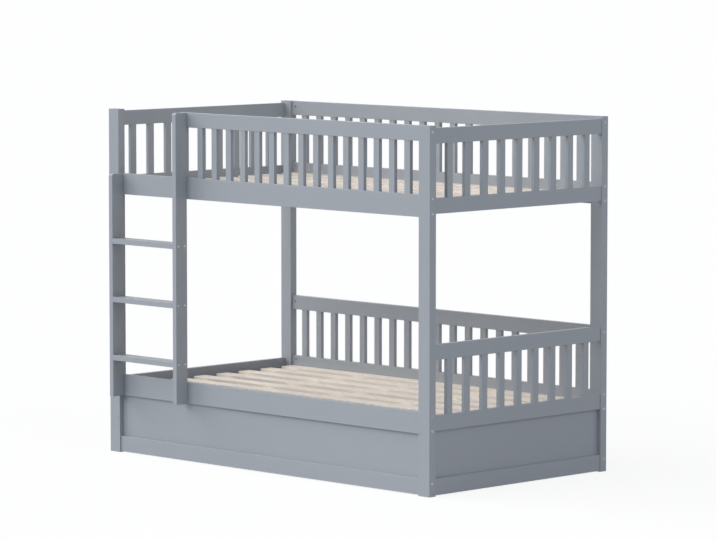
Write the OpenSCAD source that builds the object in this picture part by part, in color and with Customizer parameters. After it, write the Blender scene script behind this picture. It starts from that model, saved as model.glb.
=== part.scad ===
// Bunk bed with a panelled base, slatted guards and a fixed upright ladder at its left front.
// Millimetres. +X runs along the bed, +Y to its back, +Z up. The origin lies on the floor,
// in the middle of the whole bed, ladder included.

/* [Overall] */
// Length over the posts
bed_l = 2010; // [1900:1:2150]
// Width over the posts
bed_w = 1106; // [1000:1:1250]
// Height of the posts
bed_h = 1548; // [1500:1:1650]

/* [Posts and rails] */
// Width of a post along the bed
post_w = 65; // [58:1:75]
// Depth of a post across the bed
post_d = 38; // [34:1:44]
// Thickness of every rail and base board
rail_t = 22; // [21:0.5:26]
// Height of the guard rails and end rails
rail_h = 65; // [60:1:72]
// Height of the side rails
side_rail_h = 94; // [88:1:110]
// Step from the posts' front and back faces in to the rails
side_set = 6; // [3:0.5:8]
// Step from the posts' outer side faces in to the end rails
end_set = 4; // [2:0.5:8]
// Rounding of the long edges of every board
edge_r = 1.5; // [1:0.1:1.7]

/* [Levels] */
// Underside of the lower side rails
lower_rail_z = 260; // [245:1:290]
// Underside of the upper side rails
upper_rail_z = 1167; // [1130:1:1190]
// Top of the lower guard rails
lower_guard_top = 637; // [600:1:680]
// Step from the top of the posts down to the top rails of the upper ends
end_top_drop = 10; // [0:1:20]

/* [Spindles] */
// Width of a spindle
spindle_w = 33; // [28:1:37]
// Thickness of a spindle
spindle_t = 18; // [15:0.5:18]
// Spindles in each end
end_spindles = 9; // [7:1:9]
// Spindles in each back guard
back_spindles = 19; // [15:1:20]
// Spindles in the front guard
front_spindles = 15; // [12:1:16]
// First gap of the front guard, beside its stile
front_first_gap = 76.5; // [60:0.5:90]
// Depth that a spindle is housed in a rail
housing = 8; // [5:0.5:10]

/* [Slat frames] */
// Slats in each bunk
slat_n = 8; // [6:1:10]
// Width of a slat
slat_w = 70; // [60:1:80]
// Thickness of a slat
slat_t = 18; // [15:0.5:20]
// Gap between the slats' ends and the line of the posts
slat_end_gap = 5; // [2:0.5:12]
// Gap between the outer slats and the side rails
slat_side_gap = 1; // [0.5:0.1:4]
// Thickness of a ledger
ledger_t = 22; // [20:0.5:28]
// Height of the ledgers and of the cross bearers
ledger_h = 27; // [25:0.5:33]
// Rise of the ledgers and cross bearers above the undersides of the side rails
ledger_up = 3; // [1:0.5:5]
// Gap between a post and the end of a ledger
ledger_inset = 40; // [36:1:70]
// Cross bearers in each bunk
bearer_n = 5; // [4:1:6]
// Width of a cross bearer
bearer_w = 60; // [52:1:80]

/* [Base] */
// Height of the base boards
base_h = 70; // [60:1:80]
// Gap between the base boards and the floor
base_z = 4; // [2:0.5:8]
// Thickness of the base panels
panel_t = 8; // [6:0.5:9]
// Depth of the rebates that hold the panels
panel_lip = 8; // [6:0.5:8]
// Thickness of a corner block, behind its post
block_d = 28; // [26:1:32]
// Drop from the tops of the lower slats down to the corner blocks
block_drop = 7; // [4:1:12]

/* [Ladder] */
// Clear width between the ladder's legs
ladder_w = 399; // [360:1:430]
// Thickness of a leg
leg_t = 24; // [20:0.5:30]
// Depth of the legs and of the rungs
leg_d = 66; // [58:1:80]
// Gap between the left leg and its post
ladder_gap = 0.5; // [0.3:0.1:3]
// Rounding of the legs' top front corners
leg_round = 10; // [4:1:20]
// Thickness of a rung
rung_t = 24; // [20:0.5:28]
// Top of the bottom rung
rung_top = 447.5; // [420:0.5:480]
// Height from rung to rung
rung_pitch = 262.5; // [230:0.5:280]
// Width of the stile behind the right leg
stile_w = 38; // [32:1:50]
// Width of the stile that the right leg covers
stile_lap = 14.5; // [8:0.5:20]

/* [Bolts and dowels] */
// Radius of a frame bolt
bolt_r = 3; // [2.5:0.1:3.5]
// Radius of a frame bolt's head
bolt_head_r = 5; // [4.5:0.1:5.5]
// Height of a frame bolt's head
bolt_head_h = 4; // [3:0.1:5]
// Radius of a barrel nut
nut_r = 5; // [4.5:0.1:5.2]
// Length of a barrel nut
nut_l = 15; // [13:0.5:16]
// Distance from a rail's end to its barrel nuts
nut_set = 24; // [20:0.5:27]
// Distance between the two bolts in a side rail's end
side_bolt_gap = 62; // [50:1:62]
// Rise of the bolt above the middle of a guard rail
guard_bolt_up = 6; // [2:0.5:10]
// Drop of the dowel below the middle of a guard rail
guard_dowel_down = 18; // [14:0.5:20]
// Distance of a base board's bolt and dowels from its middle
base_bolt_off = 16.5; // [14:0.5:16.5]
// Radius of a dowel
dowel_r = 4; // [3:0.1:4]
// Length of a frame dowel
dowel_l = 30; // [24:1:30]
// Distance between the two dowels in an end rail's end
end_dowel_gap = 32; // [24:1:34]
// Length of a bearer dowel
bearer_dowel_l = 36; // [30:1:38]
// Distance between the two dowels in a cross bearer's end
bearer_dowel_gap = 34; // [24:1:36]

/* [Screws] */
// Radius of a wood screw
screw_r = 2; // [1.7:0.1:2.2]
// Radius of a wood screw's head
screw_head_r = 4; // [3.5:0.1:4.4]
// Length of a slat screw
slat_screw_l = 35; // [30:1:42]
// Length of a ledger screw
ledger_screw_l = 35; // [30:1:38]
// Length of a rung screw
rung_screw_l = 50; // [40:1:60]
// Length of a ladder screw
ladder_screw_l = 50; // [40:1:60]
// Distance between the two screws in each joint of the ladder
ladder_screw_gap = 38; // [28:1:40]
// Distance between the two ladder screws in a rail
leg_screw_gap = 30; // [20:1:32]
// Length of a corner block's screws
block_screw_l = 54; // [50:1:56]
// Distance from a post's outer side face to its block screws
block_screw_x = 51; // [46:0.5:54]
// Level of the lower block screw in a post
block_screw_low = 155.5; // [120:0.5:200]
// Level of the upper block screw in a post
block_screw_high = 263; // [230:0.5:265]
// Radius of a panel screw
panel_screw_r = 1.5; // [1:0.1:1.8]
// Radius of a panel screw's head
panel_screw_head_r = 2.8; // [2.2:0.1:3.2]
// Length of a panel screw
panel_screw_l = 18; // [14:0.5:20]
// Panel screws along each edge of a front or back panel
side_panel_screws = 7; // [4:1:9]
// Panel screws along each edge of an end panel
end_panel_screws = 4; // [3:1:6]

/* [Fits] */
// Clearance round a spindle in its housing, and round a panel in its rebates
housing_fit = 0.1; // [0.05:0.05:0.3]
// Clearance round a bolt, nut, dowel or screw in its hole
hole_fit = 0.1; // [0.05:0.05:0.2]

/* [Hidden] */
$fn = 32;

paint = [0.56, 0.6, 0.63];
pine = [0.86, 0.8, 0.72];
steel = [0.66, 0.67, 0.69];
beech = [0.8, 0.66, 0.48];

both = [false, true];       // the left and right ends, or the front and back sides
one_end = [true];           // the right end alone
cut = 1;                    // how far a cutter runs past the face that it opens

// Places, from the front left post's outer corner on the floor
ladder_reach = leg_d - side_set;
rail_mid_y = side_set + rail_t / 2;
rail_in_y = side_set + rail_t;
rail_mid_x = end_set + rail_t / 2;
rail_in_x = end_set + rail_t;
span_x = bed_l - 2 * post_w;
span_y = bed_w - 2 * post_d;

guard_z = bed_h - rail_h;
lower_guard_z = lower_guard_top - rail_h;
end_top_z = bed_h - end_top_drop - rail_h;
end_rise = (side_rail_h - rail_h) / 2;
base_top = base_z + base_h;

leg_left_x = post_w + ladder_gap;
leg_right_x = leg_left_x + leg_t + ladder_w;
stile_x = leg_right_x + stile_lap - stile_w;

slat_x = post_w + slat_end_gap;
slat_y = rail_in_y + slat_side_gap;
slat_pitch = (bed_w - 2 * slat_y - slat_w) / (slat_n - 1);
ledger_x = post_w + ledger_inset;
ledger_in_y = rail_in_y + ledger_t;
bearer_pitch = (bed_l - 2 * ledger_x - bearer_w) / (bearer_n - 1);
ledger_mid = ledger_up + ledger_h / 2;
slat_up = ledger_up + ledger_h;

// Screws of the corner blocks: clear of the end dowels, and above the end panels' rebates
block_end_y = post_d + dowel_l / 2 + 6;
block_end_z = lower_rail_z + end_rise + panel_lip + 8;
block_top = max(lower_rail_z + slat_up + slat_t - block_drop, block_end_z + 7);

bolt_l = post_w + nut_set + nut_r + 3;
screw_head_h = screw_head_r - screw_r;
panel_screw_head_h = panel_screw_head_r - panel_screw_r;

// Near edges of n pieces of width w that divide the way from a to b evenly
function even_row(a, b, n, w) =
    let (gap = (b - a - n * w) / (n + 1)) [for (i = [0 : n - 1]) a + gap + i * (w + gap)];

// Near edges of the front guard's spindles: a first gap, then equal ones up to the post
function front_row() =
    let (first = stile_x + stile_w + front_first_gap)
    let (gap = (bed_l - post_w - first - front_spindles * spindle_w) / front_spindles)
    [for (i = [0 : front_spindles - 1]) first + i * (spindle_w + gap)];

// Two levels, a distance gap apart, about the level mid
function pair(mid, gap) = [mid - gap / 2, mid + gap / 2];

end_row = even_row(post_d, bed_w - post_d, end_spindles, spindle_w);
back_row = even_row(post_w, bed_l - post_w, back_spindles, spindle_w);

function side_bolts(rail_z) = pair(rail_z + side_rail_h / 2, side_bolt_gap);
function guard_bolts(rail_z) = [rail_z + rail_h / 2 + guard_bolt_up];
function guard_dowels(rail_z) = [rail_z + rail_h / 2 - guard_dowel_down];
function end_dowels(rail_z) = pair(rail_z + rail_h / 2, end_dowel_gap);
base_bolts = [base_z + base_h / 2 + base_bolt_off];
base_dowels = [base_z + base_h / 2 - base_bolt_off];
base_end_dowels = pair(base_z + base_h / 2, 2 * base_bolt_off);

// Levels of all bolts in a post, and of its dowels along and across the bed
function post_bolts(guard, back) = concat(
    side_bolts(upper_rail_z), side_bolts(lower_rail_z), base_bolts,
    guard ? guard_bolts(guard_z) : [], back ? guard_bolts(lower_guard_z) : []);
function post_dowels(guard, back) = concat(
    base_dowels, guard ? guard_dowels(guard_z) : [], back ? guard_dowels(lower_guard_z) : []);
function post_end_dowels(right) = concat(
    end_dowels(end_top_z), end_dowels(upper_rail_z + end_rise),
    end_dowels(lower_rail_z + end_rise), base_end_dowels,
    right ? end_dowels(lower_guard_z) : []);

// ---- Places -------------------------------------------------------------------------

// Moves the front left post's outer corner from the origin to its place
module place() translate([-bed_l / 2, -(bed_w - ladder_reach) / 2, 0]) children();

// What is drawn for the left end or the front side, at the right end or the back side
module to_right(on) {
    if (on) translate([bed_l, 0, 0]) mirror([1, 0, 0]) children();
    else children();
}
module to_back(on) {
    if (on) translate([0, bed_w, 0]) mirror([0, 1, 0]) children();
    else children();
}

// Heads on a post's outer side face, shanks running along the bed
module at_bolts(levels) for (z = levels)
    translate([0, rail_mid_y, z]) rotate([0, -90, 0]) children();

// Middles of the dowels between a post and the end of a rail along the bed
module at_side_dowels(levels) for (z = levels)
    translate([post_w, rail_mid_y, z]) rotate([0, 90, 0]) children();

// Middles of the dowels between a post and the end of a rail across the bed
module at_end_dowels(levels) for (z = levels)
    translate([rail_mid_x, post_d, z]) rotate([-90, 0, 0]) children();

// Middles of the dowels at both ends of the guard's stile
module at_stile_dowels() for (z = [upper_rail_z + side_rail_h, guard_z])
    translate([stile_x + stile_w / 2, rail_mid_y, z]) children();

// Ends of the cross bearers that meet one ledger
module at_bearer_dowels(rail_z) for (i = [0 : bearer_n - 1], dx = pair(bearer_w / 2, bearer_dowel_gap))
    translate([ledger_x + i * bearer_pitch + dx, ledger_in_y, rail_z + ledger_mid])
        rotate([-90, 0, 0]) children();

// Where the slats cross the bearers of one bunk
module at_slat_screws(rail_z) for (i = [0 : slat_n - 1], j = [0 : bearer_n - 1])
    translate([ledger_x + j * bearer_pitch + bearer_w / 2, slat_y + i * slat_pitch + slat_w / 2,
               rail_z + slat_up + slat_t]) children();

// Two screws through a ledger in each bay between bearers, heads inwards
module at_ledger_screws(rail_z) for (i = [0 : bearer_n - 2], dx = pair(bearer_pitch / 2, bearer_pitch / 2))
    translate([ledger_x + bearer_w / 2 + i * bearer_pitch + dx, ledger_in_y, rail_z + ledger_mid])
        rotate([-90, 0, 0]) children();

// Through a rail from inside into one leg of the ladder
module at_leg_screws(leg_x, rail_z, h) for (z = pair(rail_z + h / 2, leg_screw_gap))
    translate([leg_x + leg_t / 2, rail_in_y, z]) rotate([-90, 0, 0]) children();

// Through the outer face of the left or right leg into the end of rung i
module at_rung_screws(right, i) for (y = pair(side_set - leg_d / 2, ladder_screw_gap))
    translate([right ? leg_right_x + leg_t : leg_left_x, y, rung_top + i * rung_pitch - rung_t / 2])
        rotate([0, right ? 90 : -90, 0]) children();

// Through a post's front face into its corner block
module at_post_block_screws() for (z = [block_screw_low, block_screw_high])
    translate([block_screw_x, 0, z]) rotate([90, 0, 0]) children();

// Through a corner block into the end rail and the end base board
module at_end_block_screws() for (z = [base_z + base_h / 2, block_end_z])
    translate([post_w, block_end_y, z]) rotate([0, 90, 0]) children();

// Along the two edges of a front panel and of a left end panel, heads inwards
module at_side_panel_screws(levels)
    for (i = [0 : side_panel_screws - 1], z = levels)
        translate([post_w + span_x * (i + 0.5) / side_panel_screws, rail_in_y, z])
            rotate([-90, 0, 0]) children();
module at_end_panel_screws(levels)
    for (i = [0 : end_panel_screws - 1], z = levels)
        translate([rail_in_x, post_d + span_y * (i + 0.5) / end_panel_screws, z])
            rotate([0, 90, 0]) children();
base_edge = [base_top - panel_lip / 2];
side_edge = [lower_rail_z + panel_lip / 2];
end_edge = [lower_rail_z + end_rise + panel_lip / 2];

// ---- Fasteners: the head's face or the joint lies at z = 0, shanks run down -----------

module turned(points) rotate_extrude() polygon(points);

module bolt() turned([
    [0, 0], [bolt_head_r, 0], [bolt_head_r, -bolt_head_h], [bolt_r, -bolt_head_h],
    [bolt_r, -bolt_l], [0, -bolt_l]]);
module bolt_hole() let (r = bolt_r + hole_fit, head = bolt_head_r + hole_fit) turned([
    [0, cut], [head, cut], [head, -bolt_head_h], [r, -bolt_head_h],
    [r, -bolt_l - hole_fit], [0, -bolt_l - hole_fit]]);

// Barrel nut, across its bolt, and its hole, open to the rail's inner face
module nut() difference() {
    translate([0, -nut_l / 2, -post_w - nut_set]) rotate([-90, 0, 0]) cylinder(r = nut_r, h = nut_l);
    translate([0, 0, -bolt_l]) cylinder(r = bolt_r + hole_fit, h = bolt_l);
}
module nut_hole() translate([0, -nut_l / 2, -post_w - nut_set]) rotate([-90, 0, 0])
    cylinder(r = nut_r + hole_fit, h = nut_l / 2 + rail_t / 2 + cut);

module dowel(l, bevel = 1) turned([
    [0, -l / 2], [dowel_r - bevel, -l / 2], [dowel_r, bevel - l / 2], [dowel_r, l / 2 - bevel],
    [dowel_r - bevel, l / 2], [0, l / 2]]);
module dowel_hole(l) cylinder(r = dowel_r + hole_fit, h = l + 2 * hole_fit, center = true);

// Countersunk screw with a pointed end, and its hole
module screw(l, r = screw_r, head_r = screw_head_r) turned([
    [0, 0], [head_r, 0], [r, r - head_r], [r, 2 * r - l], [0, -l]]);
module screw_hole(l, r = screw_r, head_r = screw_head_r) let (f = hole_fit) turned([
    [0, cut], [head_r + f, cut], [head_r + f, 0], [r + f, r - head_r],
    [r + f, -l - f], [0, -l - f]]);
module panel_screw() screw(panel_screw_l, panel_screw_r, panel_screw_head_r);
module panel_screw_hole() screw_hole(panel_screw_l, panel_screw_r, panel_screw_head_r);

// ---- Boards -----------------------------------------------------------------------------

// Rectangle a by b with its corners rounded, and boards of that section along each axis
module eased(a, b, r = edge_r) {
    translate([r, 0]) square([a - 2 * r, b]);
    translate([0, r]) square([a, b - 2 * r]);
    for (x = [r, a - r], y = [r, b - r]) translate([x, y]) circle(r);
}
module along_x(l, a, b) rotate([90, 0, 90]) linear_extrude(l) eased(a, b);
module along_y(l, a, b) translate([0, l, 0]) rotate([90, 0, 0]) linear_extrude(l) eased(a, b);
module along_z(l, a, b) linear_extrude(l) eased(a, b);

// Rail along the bed at the front, from the post or from a start of its own, with the holes
// for its bolts, nuts and dowels at the ends that have them
module side_board(z, h, bolts, dowels = [], start = post_w, ends = both) difference() {
    translate([start, side_set, z]) along_x(bed_l - post_w - start, rail_t, h);
    for (right = ends) to_right(right) {
        at_bolts(bolts) { bolt_hole(); nut_hole(); }
        at_side_dowels(dowels) dowel_hole(dowel_l);
    }
}

// Rail across the bed at the left end, with its dowel holes
module end_board(z, h, dowels) difference() {
    translate([end_set, post_d, z]) along_y(span_y, rail_t, h);
    for (back = both) to_back(back) at_end_dowels(dowels) dowel_hole(dowel_l);
}

// Spindle standing in a side row or an end row, its housing, and rows of them
module side_spindle(x, z, l, fit = 0)
    translate([x - fit, rail_mid_y - spindle_t / 2 - fit, z])
        along_z(l, spindle_w + 2 * fit, spindle_t + 2 * fit);
module end_spindle(y, z, l, fit = 0)
    translate([rail_mid_x - spindle_t / 2 - fit, y - fit, z])
        along_z(l, spindle_t + 2 * fit, spindle_w + 2 * fit);
module side_spindles(row, low, high) for (x = row)
    side_spindle(x, low - housing, high - low + 2 * housing);
module end_spindles_row(low, high) for (y = end_row)
    end_spindle(y, low - housing, high - low + 2 * housing);

// Housings cut down from the level z, or up from it
module side_housings(row, z, up) for (x = row)
    side_spindle(x, up ? z - cut : z - housing, housing + cut, housing_fit);
module end_housings(z, up) for (y = end_row)
    end_spindle(y, up ? z - cut : z - housing, housing + cut, housing_fit);

// Rebate for a front panel or a left end panel, from the level low to the level high
module side_rebate(low, high)
    translate([post_w - cut, rail_in_y - panel_t - housing_fit, low])
        cube([span_x + 2 * cut, panel_t + housing_fit + cut, high - low]);
module end_rebate(low, high)
    translate([rail_in_x - panel_t - housing_fit, post_d - cut, low])
        cube([panel_t + housing_fit + cut, span_y + 2 * cut, high - low]);

// ---- Posts --------------------------------------------------------------------------------

// Every post but the front left one carries a guard rail
module post(right, back) color(paint) place() to_right(right) to_back(back) difference() {
    along_z(bed_h, post_w, post_d);
    at_bolts(post_bolts(right || back, back)) bolt_hole();
    at_side_dowels(post_dowels(right || back, back)) dowel_hole(dowel_l);
    at_end_dowels(post_end_dowels(right)) dowel_hole(dowel_l);
    at_post_block_screws() screw_hole(block_screw_l);
}

// ---- Side rails, ledgers and slat frames -----------------------------------------------------

module side_rail(rail_z) difference() {
    side_board(rail_z, side_rail_h, side_bolts(rail_z));
    at_ledger_screws(rail_z) screw_hole(ledger_screw_l);
}
module upper_side_rail_front() color(paint) place() difference() {
    side_rail(upper_rail_z);
    side_housings(front_row(), upper_rail_z + side_rail_h, false);
    for (x = [leg_left_x, leg_right_x])
        at_leg_screws(x, upper_rail_z, side_rail_h) screw_hole(ladder_screw_l);
    at_stile_dowels() dowel_hole(dowel_l);
}
module upper_side_rail_back() color(paint) place() to_back(true) difference() {
    side_rail(upper_rail_z);
    side_housings(back_row, upper_rail_z + side_rail_h, false);
}
module lower_side_rail() difference() {
    side_rail(lower_rail_z);
    side_rebate(lower_rail_z - cut, lower_rail_z + panel_lip + housing_fit);
    at_side_panel_screws(side_edge) panel_screw_hole();
}
module lower_side_rail_front() color(paint) place() difference() {
    lower_side_rail();
    for (x = [leg_left_x, leg_right_x])
        at_leg_screws(x, lower_rail_z, side_rail_h) screw_hole(ladder_screw_l);
}
module lower_side_rail_back() color(paint) place() to_back(true) difference() {
    lower_side_rail();
    side_housings(back_row, lower_rail_z + side_rail_h, false);
}

module ledger(rail_z, back) color(pine) place() to_back(back) difference() {
    translate([ledger_x, rail_in_y, rail_z + ledger_up])
        along_x(bed_l - 2 * ledger_x, ledger_t, ledger_h);
    at_ledger_screws(rail_z) screw_hole(ledger_screw_l);
    at_bearer_dowels(rail_z) dowel_hole(bearer_dowel_l);
}
module cross_bearers(rail_z) color(pine) place() difference() {
    for (i = [0 : bearer_n - 1])
        translate([ledger_x + i * bearer_pitch, ledger_in_y, rail_z + ledger_up])
            along_y(bed_w - 2 * ledger_in_y, bearer_w, ledger_h);
    for (back = both) to_back(back) at_bearer_dowels(rail_z) dowel_hole(bearer_dowel_l);
    at_slat_screws(rail_z) screw_hole(slat_screw_l);
}
module slats(rail_z) color(pine) place() difference() {
    for (i = [0 : slat_n - 1])
        translate([slat_x, slat_y + i * slat_pitch, rail_z + slat_up])
            along_x(bed_l - 2 * slat_x, slat_w, slat_t);
    at_slat_screws(rail_z) screw_hole(slat_screw_l);
}

// ---- Guards -------------------------------------------------------------------------------------

module upper_guard_rail_front() color(paint) place() difference() {
    side_board(guard_z, rail_h, guard_bolts(guard_z), guard_dowels(guard_z), stile_x, one_end);
    side_housings(front_row(), guard_z, true);
    at_leg_screws(leg_right_x, guard_z, rail_h) screw_hole(ladder_screw_l);
    at_stile_dowels() dowel_hole(dowel_l);
}
module back_guard_rail(z) color(paint) place() to_back(true) difference() {
    side_board(z, rail_h, guard_bolts(z), guard_dowels(z));
    side_housings(back_row, z, true);
}
module upper_guard_stile() color(paint) place() difference() {
    translate([stile_x, side_set, upper_rail_z + side_rail_h])
        along_z(guard_z - upper_rail_z - side_rail_h, stile_w, rail_t);
    at_stile_dowels() dowel_hole(dowel_l);
}
module guard_spindles(row, rail_z, top_z, back) color(paint) place() to_back(back)
    side_spindles(row, rail_z + side_rail_h, top_z);

// ---- Ends ------------------------------------------------------------------------------------------

module end_top_rail(z, right) color(paint) place() to_right(right) difference() {
    end_board(z, rail_h, end_dowels(z));
    end_housings(z, true);
}
module end_low_rail(rail_z, right, housed, rebated) color(paint) place() to_right(right) difference() {
    end_board(rail_z + end_rise, rail_h, end_dowels(rail_z + end_rise));
    if (housed) end_housings(rail_z + end_rise + rail_h, false);
    if (rebated) {
        end_rebate(rail_z + end_rise - cut, rail_z + end_rise + panel_lip + housing_fit);
        at_end_panel_screws(end_edge) panel_screw_hole();
        for (back = both) to_back(back) at_end_block_screws() screw_hole(block_screw_l);
    }
}
module end_spindles_of(rail_z, top_z, right) color(paint) place() to_right(right)
    end_spindles_row(rail_z + end_rise + rail_h, top_z);

// ---- Base -----------------------------------------------------------------------------------------

module base_side_board(back) color(paint) place() to_back(back) difference() {
    side_board(base_z, base_h, base_bolts, base_dowels);
    side_rebate(base_top - panel_lip, base_top + cut);
    at_side_panel_screws(base_edge) panel_screw_hole();
}
module base_end_board(right) color(paint) place() to_right(right) difference() {
    end_board(base_z, base_h, base_end_dowels);
    end_rebate(base_top - panel_lip, base_top + cut);
    at_end_panel_screws(base_edge) panel_screw_hole();
    for (back = both) to_back(back) at_end_block_screws() screw_hole(block_screw_l);
}
module base_side_panel(back) color(paint) place() to_back(back) difference() {
    translate([post_w + housing_fit, rail_in_y - panel_t, base_top - panel_lip])
        cube([span_x - 2 * housing_fit, panel_t, lower_rail_z - base_top + 2 * panel_lip]);
    at_side_panel_screws(concat(base_edge, side_edge)) panel_screw_hole();
}
module base_end_panel(right) color(paint) place() to_right(right) difference() {
    translate([rail_in_x - panel_t, post_d + housing_fit, base_top - panel_lip])
        cube([panel_t, span_y - 2 * housing_fit, lower_rail_z + end_rise - base_top + 2 * panel_lip]);
    at_end_panel_screws(concat(base_edge, end_edge)) panel_screw_hole();
}
module corner_blocks() color(pine) place() for (right = both, back = both)
    to_right(right) to_back(back) difference() {
        translate([rail_in_x, post_d, base_z])
            along_z(block_top - base_z, post_w - rail_in_x, block_d);
        at_post_block_screws() screw_hole(block_screw_l);
        at_end_block_screws() screw_hole(block_screw_l);
    }

// ---- Ladder --------------------------------------------------------------------------------------

// Side view of a leg: its front runs down the left edge, with the top corner rounded
module leg_side(h) {
    square([leg_d, h - leg_round]);
    translate([leg_round, 0]) square([leg_d - leg_round, h]);
    translate([leg_round, h - leg_round]) circle(leg_round);
}
module leg(x, top, right, rails) color(paint) place() difference() {
    translate([x, -ladder_reach, lower_rail_z]) intersection() {
        rotate([90, 0, 90]) linear_extrude(leg_t) leg_side(top - lower_rail_z);
        along_z(top - lower_rail_z, leg_t, leg_d);
    }
    for (rail = rails) at_leg_screws(x, rail[0], rail[1]) screw_hole(ladder_screw_l);
    for (i = [0 : 2]) at_rung_screws(right, i) screw_hole(rung_screw_l);
}
side_rails = [[lower_rail_z, side_rail_h], [upper_rail_z, side_rail_h]];
module rung(i) color(paint) place() difference() {
    translate([leg_left_x + leg_t, -ladder_reach, rung_top + i * rung_pitch - rung_t])
        along_x(ladder_w, leg_d, rung_t);
    for (right = both) at_rung_screws(right, i) screw_hole(rung_screw_l);
}

// ---- Groups of fasteners ----------------------------------------------------------------------------

module frame_bolts() color(steel) place() for (right = both, back = both)
    to_right(right) to_back(back) at_bolts(post_bolts(right || back, back)) bolt();
module barrel_nuts() color(steel) place() for (right = both, back = both)
    to_right(right) to_back(back) at_bolts(post_bolts(right || back, back)) nut();
module frame_dowels() color(beech) place() {
    for (right = both, back = both) to_right(right) to_back(back) {
        at_side_dowels(post_dowels(right || back, back)) dowel(dowel_l);
        at_end_dowels(post_end_dowels(right)) dowel(dowel_l);
    }
    at_stile_dowels() dowel(dowel_l);
}
module bearer_dowels() color(beech) place() for (back = both, z = [lower_rail_z, upper_rail_z])
    to_back(back) at_bearer_dowels(z) dowel(bearer_dowel_l);
module slat_screws() color(steel) place() for (z = [lower_rail_z, upper_rail_z])
    at_slat_screws(z) screw(slat_screw_l);
module ledger_screws() color(steel) place() for (back = both, z = [lower_rail_z, upper_rail_z])
    to_back(back) at_ledger_screws(z) screw(ledger_screw_l);
module rung_screws() color(steel) place() for (right = both, i = [0 : 2])
    at_rung_screws(right, i) screw(rung_screw_l);
module ladder_screws() color(steel) place() {
    for (x = [leg_left_x, leg_right_x], rail = side_rails)
        at_leg_screws(x, rail[0], rail[1]) screw(ladder_screw_l);
    at_leg_screws(leg_right_x, guard_z, rail_h) screw(ladder_screw_l);
}
module corner_block_screws() color(steel) place() for (right = both, back = both)
    to_right(right) to_back(back) {
        at_post_block_screws() screw(block_screw_l);
        at_end_block_screws() screw(block_screw_l);
    }
module panel_screws() color(steel) place() {
    for (back = both) to_back(back)
        at_side_panel_screws(concat(base_edge, side_edge)) panel_screw();
    for (right = both) to_right(right)
        at_end_panel_screws(concat(base_edge, end_edge)) panel_screw();
}

// ---- The bed -----------------------------------------------------------------------------------------

post(false, false);  // post_front_left
post(true, false);  // post_front_right
post(false, true);  // post_back_left
post(true, true);  // post_back_right

upper_side_rail_front();
upper_side_rail_back();
upper_guard_rail_front();
back_guard_rail(guard_z);  // upper_guard_rail_back
upper_guard_stile();
guard_spindles(front_row(), upper_rail_z, guard_z, false);  // upper_guard_spindles_front
guard_spindles(back_row, upper_rail_z, guard_z, true);  // upper_guard_spindles_back
end_top_rail(end_top_z, false);  // upper_end_top_rail_left
end_top_rail(end_top_z, true);  // upper_end_top_rail_right
end_low_rail(upper_rail_z, false, true, false);  // upper_end_low_rail_left
end_low_rail(upper_rail_z, true, true, false);  // upper_end_low_rail_right
end_spindles_of(upper_rail_z, end_top_z, false);  // upper_end_spindles_left
end_spindles_of(upper_rail_z, end_top_z, true);  // upper_end_spindles_right
ledger(upper_rail_z, false);  // upper_ledger_front
ledger(upper_rail_z, true);  // upper_ledger_back
cross_bearers(upper_rail_z);  // upper_cross_bearers
slats(upper_rail_z);  // upper_slats

lower_side_rail_front();
lower_side_rail_back();
back_guard_rail(lower_guard_z);  // lower_guard_rail_back
guard_spindles(back_row, lower_rail_z, lower_guard_z, true);  // lower_guard_spindles_back
end_top_rail(lower_guard_z, true);  // lower_end_top_rail_right
end_low_rail(lower_rail_z, true, true, true);  // lower_end_low_rail_right
end_low_rail(lower_rail_z, false, false, true);  // lower_end_low_rail_left
end_spindles_of(lower_rail_z, lower_guard_z, true);  // lower_end_spindles_right
ledger(lower_rail_z, false);  // lower_ledger_front
ledger(lower_rail_z, true);  // lower_ledger_back
cross_bearers(lower_rail_z);  // lower_cross_bearers
slats(lower_rail_z);  // lower_slats

base_side_board(false);  // base_board_front
base_side_board(true);  // base_board_back
base_end_board(false);  // base_board_left
base_end_board(true);  // base_board_right
base_side_panel(false);  // base_panel_front
base_side_panel(true);  // base_panel_back
base_end_panel(false);  // base_panel_left
base_end_panel(true);  // base_panel_right
corner_blocks();

leg(leg_left_x, upper_rail_z + side_rail_h, false, side_rails);  // ladder_leg_left
leg(leg_right_x, bed_h, true, concat(side_rails, [[guard_z, rail_h]]));  // ladder_leg_right
rung(0);  // ladder_rung_bottom
rung(1);  // ladder_rung_middle
rung(2);  // ladder_rung_top

frame_bolts();
barrel_nuts();
frame_dowels();
bearer_dowels();
slat_screws();
ledger_screws();
rung_screws();
ladder_screws();
corner_block_screws();
panel_screws();
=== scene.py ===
"""Studio scene of a bunk bed in grey satin paint, with bare pine slats.

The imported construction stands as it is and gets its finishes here. The bolts and screws are made
again with their sockets and recesses, at the places that the construction gives them.
"""

import logging
import math
from dataclasses import dataclass, field
from enum import Enum

import bmesh
import bpy
from mathutils import Matrix, Vector


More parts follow.
